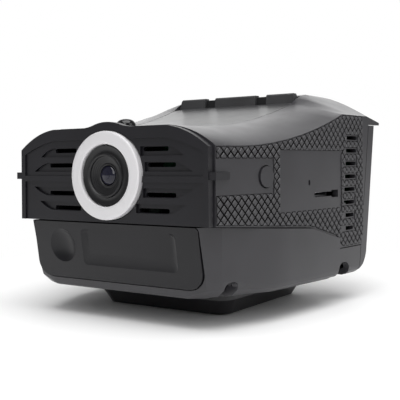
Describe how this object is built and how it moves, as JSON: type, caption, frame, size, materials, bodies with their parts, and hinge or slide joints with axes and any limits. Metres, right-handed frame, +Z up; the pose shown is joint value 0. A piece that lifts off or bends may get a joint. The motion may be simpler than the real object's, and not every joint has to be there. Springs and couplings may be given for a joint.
{
  "type": "radar detector",
  "caption": "dash-top radar detector with a built-in camera: silver-ringed lens in a louvred face plate, smoked radar window, hooded top, rear display with keys, plinth base",
  "frame": {"origin": "on the surface the unit stands on, under the middle of its bounding box", "axes": "+Z up; the camera lens looks along -Y and the display faces +Y; +X is the memory-card side, on the right of someone facing the lens"},
  "size_m": [0.0964, 0.0952, 0.072],
  "materials": {
    "base": "matt black plastic",
    "black_gloss": "glossy black plastic",
    "board": "green solder mask",
    "case": "satin textured grey plastic",
    "cell": "foil pouch",
    "glass": "polished dark lens",
    "horn": "bare metal",
    "inner_black": "black plastic",
    "pad": "matt black rubber",
    "panel": "satin smooth grey plastic",
    "plate": "matt dark grey plastic",
    "ring": "satin silver",
    "steel": "zinc-plated",
    "window": "semi-gloss dark grey plastic"
  },
  "bodies": {
    "case": {"base_pad": "pad", "base_plinth": "base", "base_screw_1": "steel", "base_screw_2": "steel", "base_screw_3": "steel", "base_screw_4": "steel", "battery": "cell", "camera_board": "board", "card_socket": "steel", "case_screw_1": "steel", "case_screw_2": "steel", "case_screw_3": "steel", "case_screw_4": "steel", "display_panel": "black_gloss", "display_window": "black_gloss", "face_plate": "plate", "key_board_left": "board", "key_board_right": "board", "laser_lens": "glass", "laser_receiver": "inner_black", "lens_barrel": "black_gloss", "lens_glass": "glass", "lens_holder": "inner_black", "lens_ring": "ring", "lower_case": "case", "main_board": "board", "power_socket": "steel", "radar_board": "board", "radar_horn": "horn", "radar_window": "window", "rear_bezel": "case", "reset_switch": "inner_black", "side_plug_left": "case", "side_plug_right": "case", "speaker": "inner_black", "top_panel": "panel", "top_switch": "inner_black", "upper_case": "case"},
    "top_button_body": {"top_button": "black_gloss"},
    "key_left_1_body": {"key_left_1": "plate"},
    "key_left_2_body": {"key_left_2": "plate"},
    "key_left_3_body": {"key_left_3": "plate"},
    "key_right_1_body": {"key_right_1": "plate"},
    "key_right_2_body": {"key_right_2": "plate"},
    "key_right_3_body": {"key_right_3": "plate"}
  },
  "joints": [
    {"name": "top_button_press", "type": "slide", "parent": "case", "child": "top_button_body", "axis": [0, 0, -1], "range_m": [0, 0.0008], "stiffness_N_per_m": 400},
    {"name": "key_left_1_press", "type": "slide", "parent": "case", "child": "key_left_1_body", "axis": [0, -0.9877, 0.1564], "range_m": [0, 0.0005], "stiffness_N_per_m": 400},
    {"name": "key_left_2_press", "type": "slide", "parent": "case", "child": "key_left_2_body", "axis": [0, -0.9877, 0.1564], "range_m": [0, 0.0005], "stiffness_N_per_m": 400},
    {"name": "key_left_3_press", "type": "slide", "parent": "case", "child": "key_left_3_body", "axis": [0, -0.9877, 0.1564], "range_m": [0, 0.0005], "stiffness_N_per_m": 400},
    {"name": "key_right_1_press", "type": "slide", "parent": "case", "child": "key_right_1_body", "axis": [0, -0.9877, 0.1564], "range_m": [0, 0.0005], "stiffness_N_per_m": 400},
    {"name": "key_right_2_press", "type": "slide", "parent": "case", "child": "key_right_2_body", "axis": [0, -0.9877, 0.1564], "range_m": [0, 0.0005], "stiffness_N_per_m": 400},
    {"name": "key_right_3_press", "type": "slide", "parent": "case", "child": "key_right_3_body", "axis": [0, -0.9877, 0.1564], "range_m": [0, 0.0005], "stiffness_N_per_m": 400}
  ]
}
